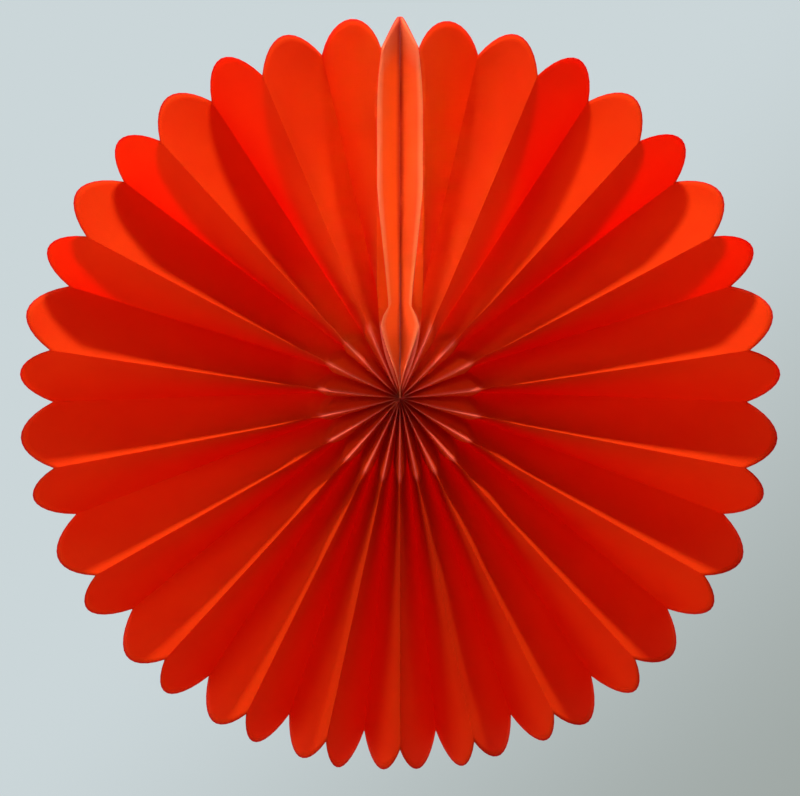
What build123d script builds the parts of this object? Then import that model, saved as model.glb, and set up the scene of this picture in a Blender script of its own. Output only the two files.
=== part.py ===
from build123d import *
import math
import os

# A hanging fan rosette: one pleated strip of tissue opened through a full turn, with a
# card leaf glued to each end. The two card leaves are taped back to back and make the seam
# at the top. X is to the right, Z is up, and the front faces -Y. All sizes are in mm.

# Size of the open rosette
TIP_RADIUS = 200.0  # hub axis to a petal's tip
NOTCH_RADIUS = 183.5  # hub axis to the notch between two petals
ROOT_RADIUS = 5.0  # hub axis to the inner end of the leaves
DISH = 16.0  # how far the rim stands forward of the hub

# The strip
LEAF_WIDTH = 42.0  # fold to fold
TISSUE = 0.3  # thickness of one leaf
PLEATS = 40  # leaves between the two covers
FOLD_REACH = 12.0  # most that the closed inside of a fold reaches in at the roots
TOP_PITCH = 9.8  # degrees from fold to fold beside the seam
BOTTOM_PITCH = 6.0  # degrees from fold to fold where the leaves hang together
HANG_SPREAD = 5.6  # leaves over which the pitch closes up towards the bottom

# Front edge of the leaves: a radius and how far it stands from the middle of the strip.
# A small inner petal stands out from the notched waist round the hub.
LEAF_ROOT = (1.0, 11.0)
LOBE_SIDE = (20.0, 17.0)
LOBE = (41.0, 20.5)
LOBE_NECK = (46.0, 18.0)
WAIST = (50.0, 14.5)
TISSUE_FLANK = (58.0, 18.5)
TISSUE_SHOULDER = (68.0, 22.0)
COVER_FLANK = (98.0, 18.0)
COVER_SHOULDER = (150.0, 20.0)
BACK_ROOT = 12.0  # half width of the roots at the back
BACK_TAPER = 30.0  # radius where the back edge is full
PETAL_POWER = 1.95  # roundness of a petal's arch
COVER_POWER = 1.6  # roundness of a cover's half arch
SEAM_TIP = 199.0  # hub axis to the covers' tip at the seam
FLAT_HALF = 2.0  # half thickness of the flat stack of end leaves, with room

# The covers and what holds them
CARD = 0.4  # thickness of a cover
TAPE = 0.2  # thickness of the double-sided tape between the covers
GLUE = 0.05  # film between a cover and its tissue leaf
COVER_SPREAD = 12.0  # seam to a cover's front edge
COVER_CURL = 2.4  # how far that edge turns back to the seam at the rim
COVER_REACH = 25.0  # radius over which that edge leaves the hub
GROOVE_DEPTH = 13.0  # front edge to the line where the covers meet
TAPE_FROM = 70.0
TAPE_TO = 172.0
TAPE_WIDTH = 12.0
TAPE_INSET = 8.0  # behind the groove line

# The thread through the roots of the leaves
TIE_RADIUS = 12.0
TIE_THREAD = 1.0
TIE_CLEARANCE = 0.1

# Stations along a fold, from the root to past the tips
STATIONS = [ROOT_RADIUS * k for k in (1.0, 1.6, 2.6, 4.2, 7.0)]
STATIONS += [TIP_RADIUS * k for k in (0.28, 0.42, 0.58, 0.74, 0.88, 1.03)]


def fold_angles():
    """Angles of the folds clockwise from the seam, in radians."""
    pitches = []
    for k in range(PLEATS):
        closing = math.exp(-(((k - (PLEATS - 1) / 2) / HANG_SPREAD) ** 2))
        pitches.append(TOP_PITCH - (TOP_PITCH - BOTTOM_PITCH) * closing)
    edge = math.atan2(COVER_SPREAD - COVER_CURL, NOTCH_RADIUS)
    scale = (2 * math.pi - 2 * edge) / sum(pitches)
    angles = [edge]
    for pitch in pitches:
        angles.append(angles[-1] + pitch * scale)
    return angles


ANGLES = fold_angles()


def middle_depth(r):
    """Depth of the middle of the strip."""
    return -DISH * r / TIP_RADIUS


def strip_depth(pitch, r):
    """Front to back depth of a leaf whose folds are a pitch apart."""
    across = 2 * r * math.sin(pitch / 2)
    return math.sqrt(LEAF_WIDTH**2 - across**2)


def fold_depth(k, r):
    """Depth from front folds to back folds at fold k."""
    before = ANGLES[k] - ANGLES[k - 1] if k > 0 else ANGLES[1] - ANGLES[0]
    after = ANGLES[k + 1] - ANGLES[k] if k < PLEATS else ANGLES[k] - ANGLES[k - 1]
    return (strip_depth(before, r) + strip_depth(after, r)) / 2


def fold_point(k, r):
    """Middle of the sheet at fold k. Even folds are at the front, odd ones at the back."""
    side = -1 if k % 2 == 0 else 1
    y = middle_depth(r) + side * fold_depth(k, r) / 2
    return Vector(r * math.sin(ANGLES[k]), y, r * math.cos(ANGLES[k]))


def cover_edge(r):
    """Distance of a cover's front edge from the seam."""
    leaving = 1 - math.exp(-((r / COVER_REACH) ** 1.5))
    curl = max(0.0, (r - COVER_SHOULDER[0]) / (NOTCH_RADIUS - COVER_SHOULDER[0]))
    return COVER_SPREAD * leaving - COVER_CURL * curl**2


def end_leaf(side, r):
    """Front edge, groove line and back edge of an end leaf, side 1 on the right."""
    x0 = TAPE / 2 + CARD + GLUE + TISSUE / 2
    k = 0 if side > 0 else PLEATS
    front = middle_depth(r) - fold_depth(k, r) / 2
    x1 = max(cover_edge(r), x0 + TISSUE)
    out = LEAF_WIDTH - math.hypot(GROOVE_DEPTH, x1 - x0)
    groove = front + GROOVE_DEPTH
    return [
        Vector(side * x1, front, math.sqrt(r * r - x1 * x1)),
        Vector(side * x0, groove, math.sqrt(r * r - x0 * x0)),
        Vector(side * x0, groove + out, math.sqrt(r * r - x0 * x0)),
    ]


def strip_points(r):
    """Middle of the sheet at every fold of the strip, clockwise from the seam."""
    right = end_leaf(1, r)[::-1]
    left = end_leaf(-1, r)
    return right + [fold_point(k, r) for k in range(1, PLEATS)] + left


def leaf_normals(points):
    """Unit normals of the leaves between the points, all towards the back."""
    normals = []
    for a, b in zip(points, points[1:]):
        middle = (a + b) * 0.5
        outward = Vector(middle.X, 0, middle.Z).normalized()
        normals.append(outward.cross(b - a).normalized())
    return normals


def mitre(n1, n2):
    """Vector from a fold to where two leaves offset by one unit meet."""
    return (n1 + n2) * (1 / (1 + n1.dot(n2)))


def offset_points(points, distance):
    """The section moved sideways towards the back by a distance."""
    normals = leaf_normals(points)
    normals = [normals[0]] + normals + [normals[-1]]
    return [p + mitre(a, b) * distance for p, a, b in zip(points, normals, normals[1:])]


def section(points, thickness, sharp):
    """Closed section of a folded sheet: its front points, then its back points."""
    half = thickness / 2
    normals = leaf_normals(points)
    front = [points[0] - normals[0] * half]
    back = [points[0] + normals[0] * half]
    for i in range(1, len(points) - 1):
        p, a, b = points[i], normals[i - 1], normals[i]
        inner = mitre(a, b) * half
        inner = inner * min(1.0, FOLD_REACH / inner.length)
        if i not in sharp:
            front.append(p - inner)
            back.append(p + inner)
        elif sharp[i] < 0:
            front += [p - a * half, p - b * half]
            back.append(p + inner)
        else:
            front.append(p - inner)
            back += [p + a * half, p + b * half]
    front.append(points[-1] - normals[-1] * half)
    back.append(points[-1] + normals[-1] * half)
    return front, back


def pairs(leaf_count, sharp):
    """Which front and back points bound each leaf and each blunt fold."""
    leaves, folds = [], []
    f, b = 0, 0
    for i in range(leaf_count):
        leaves.append((f, f + 1, b, b + 1))
        f, b = f + 1, b + 1
        if i + 1 in sharp and sharp[i + 1] < 0:
            folds.append((f, f + 1, b, b))
            f += 1
        elif i + 1 in sharp:
            folds.append((f, f, b, b + 1))
            b += 1
    return leaves, folds


def folded_sheet(section_points, thickness, sharp):
    """Solid of a folded sheet that runs along the stations."""
    sections = [section(section_points(r), thickness, sharp) for r in STATIONS]
    fronts = [Edge.make_spline([s[0][i] for s in sections]) for i in range(len(sections[0][0]))]
    backs = [Edge.make_spline([s[1][i] for s in sections]) for i in range(len(sections[0][1]))]
    leaves, folds = pairs(len(section_points(ROOT_RADIUS)) - 1, sharp)
    faces = []
    for f0, f1, b0, b1 in leaves:
        faces.append(Face.make_surface_from_curves(fronts[f0], fronts[f1]))
        faces.append(Face.make_surface_from_curves(backs[b0], backs[b1]))
    for f0, f1, b0, b1 in folds:
        if f0 != f1:
            faces.append(Face.make_surface_from_curves(fronts[f0], fronts[f1]))
        else:
            faces.append(Face.make_surface_from_curves(backs[b0], backs[b1]))
    faces.append(Face.make_surface_from_curves(fronts[0], backs[0]))
    faces.append(Face.make_surface_from_curves(fronts[-1], backs[-1]))
    for front, back in (sections[0], sections[-1]):
        for f0, f1, b0, b1 in leaves:
            near = Edge.make_line(front[f0], front[f1])
            far = Edge.make_line(back[b0], back[b1])
            faces.append(Face.make_surface_from_curves(near, far))
        for f0, f1, b0, b1 in folds:
            corner = [front[f0], front[f1], back[b0]] if f0 != f1 else [front[f0], back[b0], back[b1]]
            faces.append(Face(Wire.make_polygon(corner)))
    return Solid(Shell(faces))


def petal(start, end, tip):
    """Outline of one petal between two notches, seen from the front."""
    points = []
    for k in range(-4, 5):
        u = k / 4
        angle = (start + end) / 2 + u * (end - start) / 2
        r = NOTCH_RADIUS + (tip - NOTCH_RADIUS) * (1 - abs(u) ** PETAL_POWER)
        points.append((r * math.sin(angle), r * math.cos(angle)))
    return Spline(*points)


def cover_petal(side):
    """Outline of a cover's half petal, from the seam's tip to the first notch."""
    points = []
    for k in range(5):
        u = k / 4
        angle = side * ANGLES[0] * u
        r = NOTCH_RADIUS + (SEAM_TIP - NOTCH_RADIUS) * (1 - u**COVER_POWER)
        points.append((r * math.sin(angle), r * math.cos(angle)))
    return Spline(*(points if side > 0 else points[::-1]))


def petal_prism():
    """Everything inside the ring of petals, through the whole depth."""
    with BuildPart() as prism:
        with BuildSketch(Plane.XZ):
            with BuildLine():
                cover_petal(-1)
                cover_petal(1)
                for start, end in zip(ANGLES, ANGLES[1:]):
                    petal(start, end, TIP_RADIUS)
            make_face()
        extrude(amount=2 * LEAF_WIDTH, both=True)
    return prism.part


def front_cutter(flank, shoulder):
    """Ring in front of the leaves, with the outline of their front edges."""
    def at(r, half):
        return (r, middle_depth(r) - half)

    far = -2 * LEAF_WIDTH
    with BuildPart() as cutter:
        with BuildSketch(Plane.XY):
            with BuildLine():
                Line((0, far), (0, -LEAF_ROOT[1]))
                Line((0, -LEAF_ROOT[1]), at(*LEAF_ROOT))
                ThreePointArc(at(*LEAF_ROOT), at(*LOBE_SIDE), at(*LOBE))
                ThreePointArc(at(*LOBE), at(*LOBE_NECK), at(*WAIST))
                ThreePointArc(at(*WAIST), at(*flank), at(*shoulder))
                Line(at(*shoulder), (shoulder[0] + LEAF_WIDTH, far))
                Line((shoulder[0] + LEAF_WIDTH, far), (0, far))
            make_face()
        revolve(axis=Axis.Y)
    return cutter.part


def back_cutter():
    """Cone behind the roots of the leaves."""
    corners = [(0, BACK_ROOT), (BACK_TAPER, LEAF_WIDTH / 2), (BACK_TAPER, LEAF_WIDTH), (0, LEAF_WIDTH)]
    with BuildPart() as cutter:
        with BuildSketch(Plane.XY):
            with BuildLine():
                Polyline(*corners, close=True)
            make_face()
        revolve(axis=Axis.Y)
    return cutter.part


def back_corner():
    """What lies outside the arch of the end leaves' back halves, which are flat."""
    tip = end_leaf(1, SEAM_TIP)
    groove, back = tip[1].Y, tip[2].Y
    points = []
    for k in range(5):
        u = k / 4
        r = NOTCH_RADIUS + (SEAM_TIP - NOTCH_RADIUS) * (1 - u**COVER_POWER)
        points.append((groove + u * (back - groove), r))
    beyond = TIP_RADIUS + LEAF_WIDTH
    with BuildPart() as corner:
        with BuildSketch(Plane.YZ):
            with BuildLine():
                Spline(*points)
                Polyline(points[-1], (beyond, NOTCH_RADIUS), (beyond, beyond), (groove, beyond), points[0])
            make_face()
        extrude(amount=FLAT_HALF, both=True)
    return corner.part


def cut_leaves(sheet, flank, shoulder):
    """The die-cut outline, taken from a folded sheet."""
    inside = sheet.intersect(petal_prism()).solid()
    return inside - front_cutter(flank, shoulder) - back_cutter() - back_corner()


def tie_ring(thread):
    """Ring of the tie, at the depth of the leaves' middle."""
    ring = Torus(TIE_RADIUS, thread / 2)
    return Pos(0, middle_depth(TIE_RADIUS), 0) * Rot(90, 0, 0) * ring


def pleated_tissue():
    sharp = {2 + k: (-1 if k % 2 == 0 else 1) for k in range(PLEATS + 1)}
    sheet = cut_leaves(folded_sheet(strip_points, TISSUE, sharp), TISSUE_FLANK, TISSUE_SHOULDER)
    return sheet - tie_ring(TIE_THREAD + 2 * TIE_CLEARANCE)


def cover(side):
    """Card leaf on the seam side of an end leaf."""
    gap = TISSUE / 2 + GLUE + CARD / 2

    def card_points(r):
        leaf = end_leaf(side, r)
        if side > 0:
            return offset_points(leaf[::-1], -gap)
        return offset_points(leaf, -gap)

    card = cut_leaves(folded_sheet(card_points, CARD, {}), COVER_FLANK, COVER_SHOULDER)
    return card - tie_ring(TIE_THREAD + 2 * TIE_CLEARANCE)


def seam_tape():
    """Double-sided tape between the covers."""
    groove = end_leaf(1, TAPE_TO)[1].Y
    strip_box = Box(TAPE, TAPE_WIDTH, TAPE_TO - TAPE_FROM, align=(Align.CENTER, Align.MIN, Align.MIN))
    return Pos(0, groove + TAPE_INSET, TAPE_FROM) * strip_box


os.makedirs("parts", exist_ok=True)
pieces = {
    "pleated_tissue": pleated_tissue(),
    "cover_left": cover(-1),
    "cover_right": cover(1),
    "seam_tape": seam_tape(),
    "centre_tie": tie_ring(TIE_THREAD),
}
hang_point = Pos(0, -end_leaf(1, SEAM_TIP)[1].Y, -SEAM_TIP)
for name, piece in pieces.items():
    shape = hang_point * piece
    print(name, shape.is_valid, len(shape.solids()), round(shape.volume, 1))
    export_step(shape, f"parts/{name}.step")
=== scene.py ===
import math
import random

import bmesh
import bpy
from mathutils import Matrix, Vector, noise


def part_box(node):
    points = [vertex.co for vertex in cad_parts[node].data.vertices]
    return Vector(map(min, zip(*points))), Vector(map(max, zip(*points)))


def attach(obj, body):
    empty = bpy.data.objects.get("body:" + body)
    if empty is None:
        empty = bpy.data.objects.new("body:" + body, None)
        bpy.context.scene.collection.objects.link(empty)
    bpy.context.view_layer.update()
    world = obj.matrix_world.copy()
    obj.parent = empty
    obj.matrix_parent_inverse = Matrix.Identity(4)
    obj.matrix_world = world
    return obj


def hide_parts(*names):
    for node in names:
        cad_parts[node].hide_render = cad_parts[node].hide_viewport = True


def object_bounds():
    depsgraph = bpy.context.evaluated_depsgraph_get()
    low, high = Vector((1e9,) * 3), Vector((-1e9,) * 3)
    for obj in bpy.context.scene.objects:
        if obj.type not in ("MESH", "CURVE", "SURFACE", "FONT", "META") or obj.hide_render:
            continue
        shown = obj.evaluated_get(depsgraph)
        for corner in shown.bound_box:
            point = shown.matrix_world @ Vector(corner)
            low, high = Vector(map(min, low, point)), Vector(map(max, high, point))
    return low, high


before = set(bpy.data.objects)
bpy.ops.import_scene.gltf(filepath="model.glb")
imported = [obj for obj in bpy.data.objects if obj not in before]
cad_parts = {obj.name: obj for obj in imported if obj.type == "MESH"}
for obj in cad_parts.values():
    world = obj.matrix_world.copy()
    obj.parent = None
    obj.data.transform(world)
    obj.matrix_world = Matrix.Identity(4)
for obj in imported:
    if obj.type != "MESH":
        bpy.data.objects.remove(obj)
cad_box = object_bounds()

# Lengths below are in millimetres, as on the maker's drawing, and become metres in place().
MM = 0.001

# Stage, in metres and watts
WALL_GLOW = 2.5  # light from the wall behind that comes through the tissue
WALL_SIZE = 28.0
WALL_BEHIND = 4.5
FLOOR_SIZE = 6.0
FLOOR_BELOW = 1.1
CAMERA_DISTANCE = 1.6
CAMERA_ABOVE = math.radians(8)
CAMERA_SPAN = 0.421  # width of the view at the fan
SENSOR = 36.0

# The strip and its opening
TIP_RADIUS = 200.0
NOTCH_RADIUS = 183.5
SEAM_TIP = 199.0
ROOT_RADIUS = 0.5  # the leaves' ends crumple together over the tie
DISH = 16.0
LEAF_WIDTH = 42.0
PLEATS = 40
TOP_PITCH = 9.8
BOTTOM_PITCH = 6.0
HANG_SPREAD = 5.6
PETAL_POWER = 1.95
COVER_POWER = 1.6

# The end leaves and the card covers
COVER_SPREAD = 12.0
COVER_CURL = 2.4
COVER_REACH = 25.0
GROOVE_DEPTH = 13.0
LEAF_OFFSET = 0.8  # seam to the middle of an end leaf
CARD_OFFSET = 0.16  # seam to the middle of a cover
CARD_LIFT = 0.4  # how far a cover lies in front of its leaf

# Front edge of the leaves: radius, distance from the middle of the strip
LOBE_AND_WAIST = [(0, 11), (10, 14.4), (20, 17), (31, 19.2), (41, 20.5), (46, 18), (50, 14.5)]
TISSUE_EDGE = [*LOBE_AND_WAIST, (58, 18.5), (68, 22)]
COVER_EDGE = [*LOBE_AND_WAIST, (70, 15.8), (98, 18), (125, 19.3), (150, 20), (175, 21)]
BACK_EDGE = [(0, 12), (30, 21), (31, 30)]

# Mesh and paper
ACROSS = 12
# Rows of points as (from, to, how many), closest together at the lobes' ends
ROW_RADII = [(0.5, 28.0, 9), (28.0, 50.0, 24), (50.0, 200.0, 36)]
TISSUE_SHEET = 0.12
CARD_SHEET = 0.3
VALLEY_SOFTNESS = 0.2

# The lobes round the middle: their faces flare over the grooves and step back at their ends
LOBE_TIP = 44.0
LOBE_SHOULDER = 9.0
LOBE_STEP = 3.0
LOBE_FACE = 0.36  # share of the leaf's depth that the flared face takes up
RIM_LINE = 0.9932  # share of a leaf's length where its cut rim begins

tie_low, tie_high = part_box("centre_tie")
HUB = (tie_low + tie_high) / 2


def hex_linear(code):
    """An sRGB hex colour as linear RGBA."""
    channels = [int(code[i : i + 2], 16) / 255 for i in (1, 3, 5)]
    linear = [c / 12.92 if c <= 0.04045 else ((c + 0.055) / 1.055) ** 2.4 for c in channels]
    return (*linear, 1.0)


def add(tree, kind, settings=None, links=None):
    """Adds a node. Settings are attributes or input values, links are input: socket."""
    node = tree.nodes.new(kind)
    for key, value in (settings or {}).items():
        if isinstance(key, str) and hasattr(node, key):
            setattr(node, key, value)
        else:
            node.inputs[key].default_value = value
    for key, socket in (links or {}).items():
        tree.links.new(socket, node.inputs[key])
    return node


def math_node(tree, operation, first, second):
    return add(tree, "ShaderNodeMath", {"operation": operation}, {0: first, 1: second})


def new_material(name):
    material = bpy.data.materials.new(name)
    material.use_nodes = True
    material.node_tree.nodes.clear()
    return material, material.node_tree


# ---------------------------------------------------------------- the folded form


def ease(table, r):
    """Value at r of a table of (radius, value), straight between its rows."""
    if r <= table[0][0]:
        return table[0][1]
    for (r0, v0), (r1, v1) in zip(table, table[1:]):
        if r <= r1:
            t = (r - r0) / (r1 - r0)
            return v0 + (v1 - v0) * t
    return table[-1][1]


def fold_angles():
    pitches = []
    for k in range(PLEATS):
        closing = math.exp(-(((k - (PLEATS - 1) / 2) / HANG_SPREAD) ** 2))
        pitches.append(TOP_PITCH - (TOP_PITCH - BOTTOM_PITCH) * closing)
    edge = math.atan2(COVER_SPREAD - COVER_CURL, NOTCH_RADIUS)
    scale = (2 * math.pi - 2 * edge) / sum(pitches)
    angles = [edge]
    for pitch in pitches:
        angles.append(angles[-1] + pitch * scale)
    return angles


ANGLES = fold_angles()


def middle_depth(r):
    return -DISH * r / TIP_RADIUS


def strip_depth(pitch, r):
    across = 2 * r * math.sin(pitch / 2)
    return math.sqrt(LEAF_WIDTH**2 - across**2)


def fold_depth(k, r):
    before = ANGLES[k] - ANGLES[k - 1] if k > 0 else ANGLES[1] - ANGLES[0]
    after = ANGLES[k + 1] - ANGLES[k] if k < PLEATS else before
    return (strip_depth(before, r) + strip_depth(after, r)) / 2


def cover_edge(r):
    leaving = 1 - math.exp(-((r / COVER_REACH) ** 1.5))
    curl = max(0.0, (r - 150.0) / (NOTCH_RADIUS - 150.0))
    return COVER_SPREAD * leaving - COVER_CURL * curl**2


def fold_line(k, r):
    """(x, depth, z) of fold k. The first and last folds are the end leaves' front edges."""
    side = -1 if k % 2 == 0 else 1
    y = middle_depth(r) + side * fold_depth(k, r) / 2
    if k in (0, PLEATS):
        x = max(cover_edge(r), LEAF_OFFSET * min(1.0, r / 5.0))
        x = min(x, r * 0.95)
        return ((1 if k == 0 else -1) * x, y, math.sqrt(r * r - x * x))
    return (r * math.sin(ANGLES[k]), y, r * math.cos(ANGLES[k]))


def paper_wave(x, y, z, r, strength):
    """Depth that limp paper wanders by: long waves, and short crinkles near the rim."""
    free = min(1.0, r / 110.0) * strength
    long_wave = noise.noise(Vector((x, y * 0.6, z)) * 0.016 + Vector((3.1, 8.2, 0.4)))
    crinkle = noise.noise(Vector((x, y, z)) * 0.085 + Vector((7.7, 1.3, 5.9)))
    return free * (1.5 * long_wave + 0.45 * crinkle)


def smooth(t):
    t = min(1.0, max(0.0, t))
    return t * t * (3 - 2 * t)


def row_shares():
    """Shares of a leaf's length where its rows of points lie."""
    radii = [a + (b - a) * n / rows for a, b, rows in ROW_RADII for n in range(rows)]
    radii.append(TIP_RADIUS)
    return [(r - ROOT_RADIUS) / (TIP_RADIUS - ROOT_RADIUS) for r in radii]


def groove_share(p, r):
    """How deep a leaf lies at share p of the way from its ridge to its valley."""
    straight = (1 - VALLEY_SOFTNESS) * p + VALLEY_SOFTNESS * math.sin(p * math.pi / 2)
    step = LOBE_TIP - LOBE_SHOULDER * p**1.5
    lobe = (1 - smooth((r - step) / LOBE_STEP + 0.5)) * smooth(r / 10.0)
    flared = LOBE_FACE * p + (1 - LOBE_FACE) * p**8
    return straight + (flared - straight) * lobe


def rim_radius(u, tip):
    return NOTCH_RADIUS + (tip - NOTCH_RADIUS) * (1 - abs(2 * u - 1) ** PETAL_POWER)


def pleat_rows(k, rng):
    """Grid of points of pleat k, from its root to its petal's rim."""
    front_first = k % 2 == 0
    tip = TIP_RADIUS + rng.uniform(-1.2, 0.9)
    lean = rng.uniform(-2.4, 2.4)
    puff = rng.uniform(-0.9, 1.1)
    rows = []
    for v in row_shares():
        row = []
        for i in range(ACROSS + 1):
            u = i / ACROSS
            rim = rim_radius(u, tip)
            r = ROOT_RADIUS + (rim - ROOT_RADIUS) * v
            a, b = fold_line(k, r), fold_line(k + 1, r)
            ridge, valley = (a, b) if front_first else (b, a)
            p = u if front_first else 1 - u
            depth = valley[1] - ridge[1]
            middle = middle_depth(r)
            front_cut = max(0.0, middle - ease(TISSUE_EDGE, r) - ridge[1]) / depth
            back_cut = max(0.0, valley[1] - middle - ease(BACK_EDGE, r)) / depth
            x = a[0] + (b[0] - a[0]) * u
            z = a[2] + (b[2] - a[2]) * u
            y = ridge[1] + depth * (front_cut + groove_share(p, r) * (1 - front_cut - back_cut))
            bow = math.sin(math.pi * u)
            y += bow * (puff * min(1.0, r / 120.0) + lean * v**5)
            y += paper_wave(x, y, z, r, 0.35 + 0.65 * bow)
            row.append((x, y, z, p, v))
        rows.append(row)
    return rows


def end_rows(side, edge_table, offset, lift, across):
    """Grid of an end leaf or of a cover: from its front edge, into the groove, to its back edge.
    A cover is lifted off its leaf and cut to its outline. The tissue behind it stays joined to its
    neighbour, so it only sinks where the waist is."""
    k = 0 if side > 0 else PLEATS
    is_cover = lift > 0.0
    rows = []
    for v in row_shares():
        row = []
        for i in range(across + 1):
            t = i / across
            rim = NOTCH_RADIUS + (SEAM_TIP - NOTCH_RADIUS) * (1 - abs(1 - 2 * t) ** COVER_POWER)
            r = ROOT_RADIUS + (rim - ROOT_RADIUS) * v
            front = fold_line(k, r)
            near = offset * min(1.0, r / 5.0)
            spread = abs(front[0]) - near
            flank = math.hypot(GROOVE_DEPTH, spread)
            cut = max(0.0, middle_depth(r) - ease(edge_table, r) - front[1])
            edge = min(0.9, cut / GROOVE_DEPTH) if is_cover else 0.0
            in_groove = min(1.0, 2 * t)
            share = edge + (1 - edge) * in_groove
            x = near + spread * (1 - share)
            y = front[1] + GROOVE_DEPTH * share + (LEAF_WIDTH - flank) * max(0.0, 2 * t - 1)
            if not is_cover:
                y += cut * max(0.0, 1 - 3 * t)
            x -= lift * (1 - in_groove)
            z = math.sqrt(max(r * r - x * x, 0.0))
            y += paper_wave(side * x, y, z, r, 0.3) - lift * 0.6 * (1 - in_groove)
            row.append((side * x, y, z, t, v))
        rows.append(row)
    if side < 0:
        rows = [row[::-1] for row in rows]
    return [row[::-1] for row in rows]


def place(x, y, z):
    """A point of the drawing as metres in the part's frame."""
    hub_depth = HUB.y / MM + DISH * 12.0 / TIP_RADIUS
    return ((x + HUB.x / MM) * MM, (y + hub_depth) * MM, (z + HUB.z / MM) * MM)


def sheet_object(name, grids, thickness):
    """Thin closed sheet through the grids, joined where their edges meet."""
    mesh = bpy.data.meshes.new(name)
    bm = bmesh.new()
    coordinates = bm.loops.layers.uv.new("leaf")
    for rows in grids:
        verts = [[bm.verts.new(place(*p[:3])) for p in row] for row in rows]
        for j in range(len(rows) - 1):
            for i in range(len(rows[0]) - 1):
                corners = [(j, i), (j, i + 1), (j + 1, i + 1), (j + 1, i)]
                face = bm.faces.new([verts[a][b] for a, b in corners])
                for loop, (a, b) in zip(face.loops, corners):
                    loop[coordinates].uv = rows[a][b][3:5]
    bmesh.ops.remove_doubles(bm, verts=bm.verts, dist=0.02 * MM)
    bmesh.ops.dissolve_degenerate(bm, dist=0.01 * MM, edges=bm.edges)
    bm.to_mesh(mesh)
    bm.free()
    mesh.shade_smooth()
    mesh.set_sharp_from_angle(angle=math.radians(40))
    piece = bpy.data.objects.new(name, mesh)
    bpy.context.scene.collection.objects.link(piece)
    solid = piece.modifiers.new("paper thickness", "SOLIDIFY")
    solid.thickness = thickness * MM
    solid.offset = 0.0
    return piece


# ---------------------------------------------------------------- materials


def tissue_paper():
    """Dyed tissue: matt, fibrous and thin. Lit from the front it is orange-red, and light that
    comes through it from behind is a deep pure red. The cut rim holds more dye and looks darker."""
    material, tree = new_material("dyed_tissue_paper")
    uv = add(tree, "ShaderNodeUVMap", {"uv_map": "leaf"})
    parts = add(tree, "ShaderNodeSeparateXYZ", links={0: uv.outputs[0]})
    rim = add(tree, "ShaderNodeMapRange", {1: RIM_LINE, 2: 1.0}, {0: parts.outputs["Y"]})
    position = add(tree, "ShaderNodeTexCoord").outputs["Object"]
    # Clouds of uneven dye about 25 mm across
    clouds = add(tree, "ShaderNodeTexNoise", {"Scale": 40.0, "Detail": 3.0}, {"Vector": position})
    dyed = add(tree, "ShaderNodeMix", {"data_type": "RGBA"}, {0: clouds.outputs[0]})
    dyed.inputs[6].default_value = hex_linear("#D63A04")
    dyed.inputs[7].default_value = hex_linear("#E25006")
    edged = add(tree, "ShaderNodeMix", {"data_type": "RGBA"}, {0: rim.outputs[0], 6: dyed.outputs[2]})
    edged.inputs[7].default_value = hex_linear("#B81020")
    # Painted highlight: the lobes' folded edges are painted paler, as where they catch the light
    near_fold = add(tree, "ShaderNodeMapRange", {1: 0.22, 2: 0.0}, {0: parts.outputs["X"]})
    in_lobe = add(tree, "ShaderNodeMapRange", {1: 0.235, 2: 0.215}, {0: parts.outputs["Y"]})
    lobe_highlight_mask = math_node(tree, "MULTIPLY", near_fold.outputs[0], in_lobe.outputs[0])
    lobe_highlighted = add(tree, "ShaderNodeMix", {"data_type": "RGBA"}, {0: lobe_highlight_mask.outputs[0], 6: edged.outputs[2]})
    lobe_highlighted.inputs[7].default_value = hex_linear("#F58A70")
    # Fibres about 1.5 mm long, drawn coarser than real ones so that they show
    fibres = add(tree, "ShaderNodeTexNoise", {"Scale": 650.0, "Detail": 4.0}, {"Vector": position})
    crush = add(tree, "ShaderNodeTexNoise", {"Scale": 110.0, "Detail": 2.0}, {"Vector": position})
    mixed = {2: fibres.outputs[0], 3: crush.outputs[0]}
    heights = add(tree, "ShaderNodeMix", {"data_type": "FLOAT", 0: 0.5}, mixed)
    bump = add(tree, "ShaderNodeBump", {"Strength": 0.25, "Distance": 0.0004}, {"Height": heights.outputs[0]})
    front = add(
        tree,
        "ShaderNodeBsdfPrincipled",
        {"Roughness": 0.85, "Specular IOR Level": 0.1},
        {"Base Color": lobe_highlighted.outputs[2], "Normal": bump.outputs[0]},
    )
    red = {"Color": hex_linear("#F80400")}
    through = add(tree, "ShaderNodeBsdfTranslucent", red, {"Normal": bump.outputs[0]})
    sheet = add(tree, "ShaderNodeMixShader", {0: 0.6}, {1: front.outputs[0], 2: through.outputs[0]})
    add(tree, "ShaderNodeOutputMaterial", links={"Surface": sheet.outputs[0]})
    return material


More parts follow.
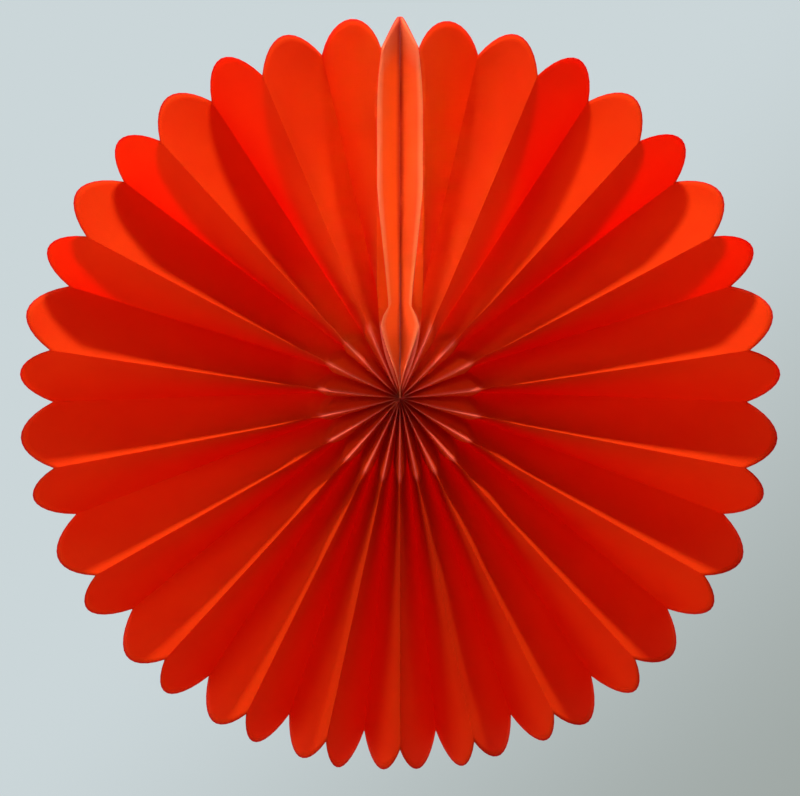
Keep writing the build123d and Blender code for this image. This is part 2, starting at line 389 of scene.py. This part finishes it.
def cover_card():
    """Thin dyed card: smoother than the tissue and denser, with a painted highlight as a paler band at its
    cut edges, where they catch the light.
    """
    material, tree = new_material("dyed_thin_card")
    uv = add(tree, "ShaderNodeUVMap", {"uv_map": "leaf"})
    parts = add(tree, "ShaderNodeSeparateXYZ", links={0: uv.outputs[0]})
    # Painted highlight: a paler band along the cut edges and the top rim
    side = add(tree, "ShaderNodeMapRange", {1: 0.13, 2: 0.05}, {0: parts.outputs["X"]})
    top = add(tree, "ShaderNodeMapRange", {1: 0.9, 2: 1.0}, {0: parts.outputs["Y"]})
    edge_highlight = add(tree, "ShaderNodeMath", {"operation": "MAXIMUM"}, {0: side.outputs[0], 1: top.outputs[0]})
    amount = add(tree, "ShaderNodeMath", {"operation": "MULTIPLY", 1: 0.5}, {0: edge_highlight.outputs[0]})
    colour = add(tree, "ShaderNodeMix", {"data_type": "RGBA"}, {0: amount.outputs[0]})
    colour.inputs[6].default_value = hex_linear("#EE4C06")
    colour.inputs[7].default_value = hex_linear("#F28A66")
    # Painted shade: darker red in the crease beside the seam, where the groove lies in shadow
    seam_shade_mask = add(tree, "ShaderNodeMapRange", {1: 0.4, 2: 0.5}, {0: parts.outputs["X"]})
    seam_shaded = add(tree, "ShaderNodeMix", {"data_type": "RGBA"}, {0: seam_shade_mask.outputs[0], 6: colour.outputs[2]})
    seam_shaded.inputs[7].default_value = hex_linear("#C81206")
    position = add(tree, "ShaderNodeTexCoord").outputs["Object"]
    grain = add(tree, "ShaderNodeTexNoise", {"Scale": 900.0, "Detail": 3.0}, {"Vector": position})
    bump = add(tree, "ShaderNodeBump", {"Strength": 0.12, "Distance": 0.0002}, {"Height": grain.outputs[0]})
    card = add(
        tree,
        "ShaderNodeBsdfPrincipled",
        {"Roughness": 0.6, "Specular IOR Level": 0.35},
        {"Base Color": seam_shaded.outputs[2], "Normal": bump.outputs[0]},
    )
    lit = {"Color": seam_shaded.outputs[2], "Normal": bump.outputs[0]}
    glow = add(tree, "ShaderNodeBsdfTranslucent", links=lit)
    thin = add(tree, "ShaderNodeMixShader", {0: 0.35}, {1: card.outputs[0], 2: glow.outputs[0]})
    add(tree, "ShaderNodeOutputMaterial", links={"Surface": thin.outputs[0]})
    return material


def fibre_material(name, code, scale, roughness):
    """Tape carrier or spun thread: matt, with a fine fibre bump."""
    material, tree = new_material(name)
    position = add(tree, "ShaderNodeTexCoord").outputs["Object"]
    fibre = add(tree, "ShaderNodeTexNoise", {"Scale": scale, "Detail": 3.0}, {"Vector": position})
    colour = add(tree, "ShaderNodeMix", {"data_type": "RGBA"}, {0: fibre.outputs[0]})
    base = hex_linear(code)
    colour.inputs[6].default_value = tuple(c * 0.75 for c in base[:3]) + (1.0,)
    colour.inputs[7].default_value = base
    bump = add(tree, "ShaderNodeBump", {"Strength": 0.3, "Distance": 0.0002}, {"Height": fibre.outputs[0]})
    matt = add(
        tree,
        "ShaderNodeBsdfPrincipled",
        {"Roughness": roughness},
        {"Base Color": colour.outputs[2], "Normal": bump.outputs[0]},
    )
    add(tree, "ShaderNodeOutputMaterial", links={"Surface": matt.outputs[0]})
    return material


def backdrop_paint():
    """Pale blue-grey wall that darkens softly to one lower corner. The camera sees its plain
    colour, and everything else is lit by its brighter glow."""
    material, tree = new_material("pale_backdrop")
    position = add(tree, "ShaderNodeTexCoord").outputs["Object"]
    parts = add(tree, "ShaderNodeSeparateXYZ", links={0: position})
    down = math_node(tree, "SUBTRACT", parts.outputs["X"], parts.outputs["Y"])
    corner = {1: 0.5, 2: 2.4, "interpolation_type": "SMOOTHSTEP"}
    shade = add(tree, "ShaderNodeMapRange", corner, {0: down.outputs[0]})
    colour = add(tree, "ShaderNodeMix", {"data_type": "RGBA"}, {0: shade.outputs[0]})
    colour.inputs[6].default_value = hex_linear("#CBD6D9")
    colour.inputs[7].default_value = hex_linear("#A0A8A5")
    seen = add(tree, "ShaderNodeLightPath")
    camera = math_node(tree, "MAXIMUM", seen.outputs["Is Camera Ray"], seen.outputs["Is Glossy Ray"])
    either = math_node(tree, "MAXIMUM", camera.outputs[0], seen.outputs["Is Transmission Ray"])
    # The light through the tissue is stronger towards the top
    glow_range = {1: -5.0, 2: 5.0, 3: 0.3 * WALL_GLOW, 4: 1.5 * WALL_GLOW}
    upper = add(tree, "ShaderNodeMapRange", glow_range, {0: parts.outputs["Y"]})
    plain = add(tree, "ShaderNodeEmission", {"Color": hex_linear("#F2F4F8")}, {"Strength": upper.outputs[0]})
    glow = add(tree, "ShaderNodeEmission", {"Strength": 1.0}, {"Color": colour.outputs[2]})
    shaders = {0: either.outputs[0], 1: plain.outputs[0], 2: glow.outputs[0]}
    wall = add(tree, "ShaderNodeMixShader", links=shaders)
    add(tree, "ShaderNodeOutputMaterial", links={"Surface": wall.outputs[0]})
    return material


def floor_paint():
    """Matt pale grey, out of the picture, that gives the lower leaves a little light back."""
    material, tree = new_material("matt_floor")
    matt = add(tree, "ShaderNodeBsdfDiffuse", {"Color": hex_linear("#9AA0A2")})
    add(tree, "ShaderNodeOutputMaterial", links={"Surface": matt.outputs[0]})
    return material


# ---------------------------------------------------------------- the pieces


def finish_piece(piece, material, node):
    piece.data.materials.clear()
    piece.data.materials.append(material)
    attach(piece, "root")
    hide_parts(node)


def make_tissue():
    rng = random.Random(21)
    grids = [pleat_rows(k, rng) for k in range(PLEATS)]
    grids.append(end_rows(1, TISSUE_EDGE, LEAF_OFFSET, 0.0, 2 * ACROSS))
    grids.append(end_rows(-1, TISSUE_EDGE, LEAF_OFFSET, 0.0, 2 * ACROSS))
    piece = sheet_object("tissue_pleats", grids, TISSUE_SHEET)
    finish_piece(piece, tissue_paper(), "pleated_tissue")


def make_covers():
    card = cover_card()
    for side, name in ((-1, "left"), (1, "right")):
        grid = end_rows(side, COVER_EDGE, CARD_OFFSET, CARD_LIFT, 2 * ACROSS)
        piece = sheet_object(f"card_cover_{name}", [grid], CARD_SHEET)
        finish_piece(piece, card, f"cover_{name}")


def finish_cad_nodes():
    tape = fibre_material("tissue_tape", "#E4DDC8", 700.0, 0.75)
    thread = fibre_material("cotton_thread", "#A01020", 2500.0, 0.9)
    for node, material in (("seam_tape", tape), ("centre_tie", thread)):
        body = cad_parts[node]
        body.data.materials.clear()
        body.data.materials.append(material)


# ---------------------------------------------------------------- stage, light and camera


def plane(name, size, location, rotation, material):
    bpy.ops.mesh.primitive_plane_add(size=size, location=location, rotation=rotation)
    sheet = bpy.context.object
    sheet.name = name
    sheet.data.materials.append(material)


def area_light(name, location, target, size, power, colour, spread=180.0):
    data = bpy.data.lights.new(name, "AREA")
    data.shape = "RECTANGLE"
    data.size, data.size_y = size
    data.energy = power
    data.color = colour
    data.spread = math.radians(spread)
    lamp = bpy.data.objects.new(name, data)
    lamp.location = location
    lamp.rotation_euler = (Vector(target) - Vector(location)).to_track_quat("-Z", "Y").to_euler()
    bpy.context.scene.collection.objects.link(lamp)


def make_stage(centre):
    paint = backdrop_paint()
    upright = (math.radians(90), 0, 0)
    plane("backdrop", WALL_SIZE, (centre.x, centre.y + WALL_BEHIND, centre.z), upright, paint)
    below = (centre.x, centre.y - 1.0, centre.z - FLOOR_BELOW)
    plane("floor", FLOOR_SIZE, below, (0, 0, 0), floor_paint())
    world = bpy.data.worlds.new("soft_room")
    world.use_nodes = True
    room = world.node_tree
    room.nodes.clear()
    seen = add(room, "ShaderNodeLightPath")
    ambient = add(room, "ShaderNodeBackground", {0: hex_linear("#E8ECF0"), 1: 0.12})
    behind = add(room, "ShaderNodeBackground", {0: hex_linear("#C8D2D5"), 1: 1.0})
    shaders = {0: seen.outputs["Is Camera Ray"], 1: ambient.outputs[0], 2: behind.outputs[0]}
    either = add(room, "ShaderNodeMixShader", links=shaders)
    add(room, "ShaderNodeOutputWorld", links={"Surface": either.outputs[0]})
    bpy.context.scene.world = world
    # The key hangs above, almost in the plane of the fan, so it only catches leaves that face up
    top = Vector(centre) + Vector((0.0, -0.15, 2.2))
    area_light("key_above", top, centre, (0.3, 0.15), 85.0, (1.0, 0.93, 0.8))
    front = Vector(centre) + Vector((0.2, -2.4, 0.9))
    area_light("room_front", front, centre, (1.2, 1.2), 6.0, (1.0, 0.9, 0.84))
    # A narrow beam down the seam, where the covers face the front
    seam = Vector(centre) + Vector((0.0, 0.0, 0.1))
    area_light("seam_beam", seam + Vector((0.0, -1.2, 0.1)), seam, (0.02, 0.18), 0.07, (1.0, 0.9, 0.8), 6.0)
    side = Vector(centre) + Vector((-1.5, -1.0, 0.1))
    area_light("window_left", side, centre, (0.9, 0.9), 15.0, (1.0, 0.78, 0.9))


def make_camera(centre):
    data = bpy.data.cameras.new("camera")
    camera = bpy.data.objects.new("camera", data)
    bpy.context.scene.collection.objects.link(camera)
    away = Vector((0.0, -math.cos(CAMERA_ABOVE), math.sin(CAMERA_ABOVE)))
    camera.location = Vector(centre) + away * CAMERA_DISTANCE
    camera.rotation_euler = (-away).to_track_quat("-Z", "Y").to_euler()
    data.sensor_width = SENSOR
    data.lens = SENSOR * CAMERA_DISTANCE / CAMERA_SPAN
    bpy.context.scene.camera = camera


make_tissue()
make_covers()
finish_cad_nodes()
object_centre = (cad_box[0] + cad_box[1]) / 2
make_stage(object_centre)
make_camera(object_centre)
bpy.context.scene.view_settings.view_transform = "Standard"
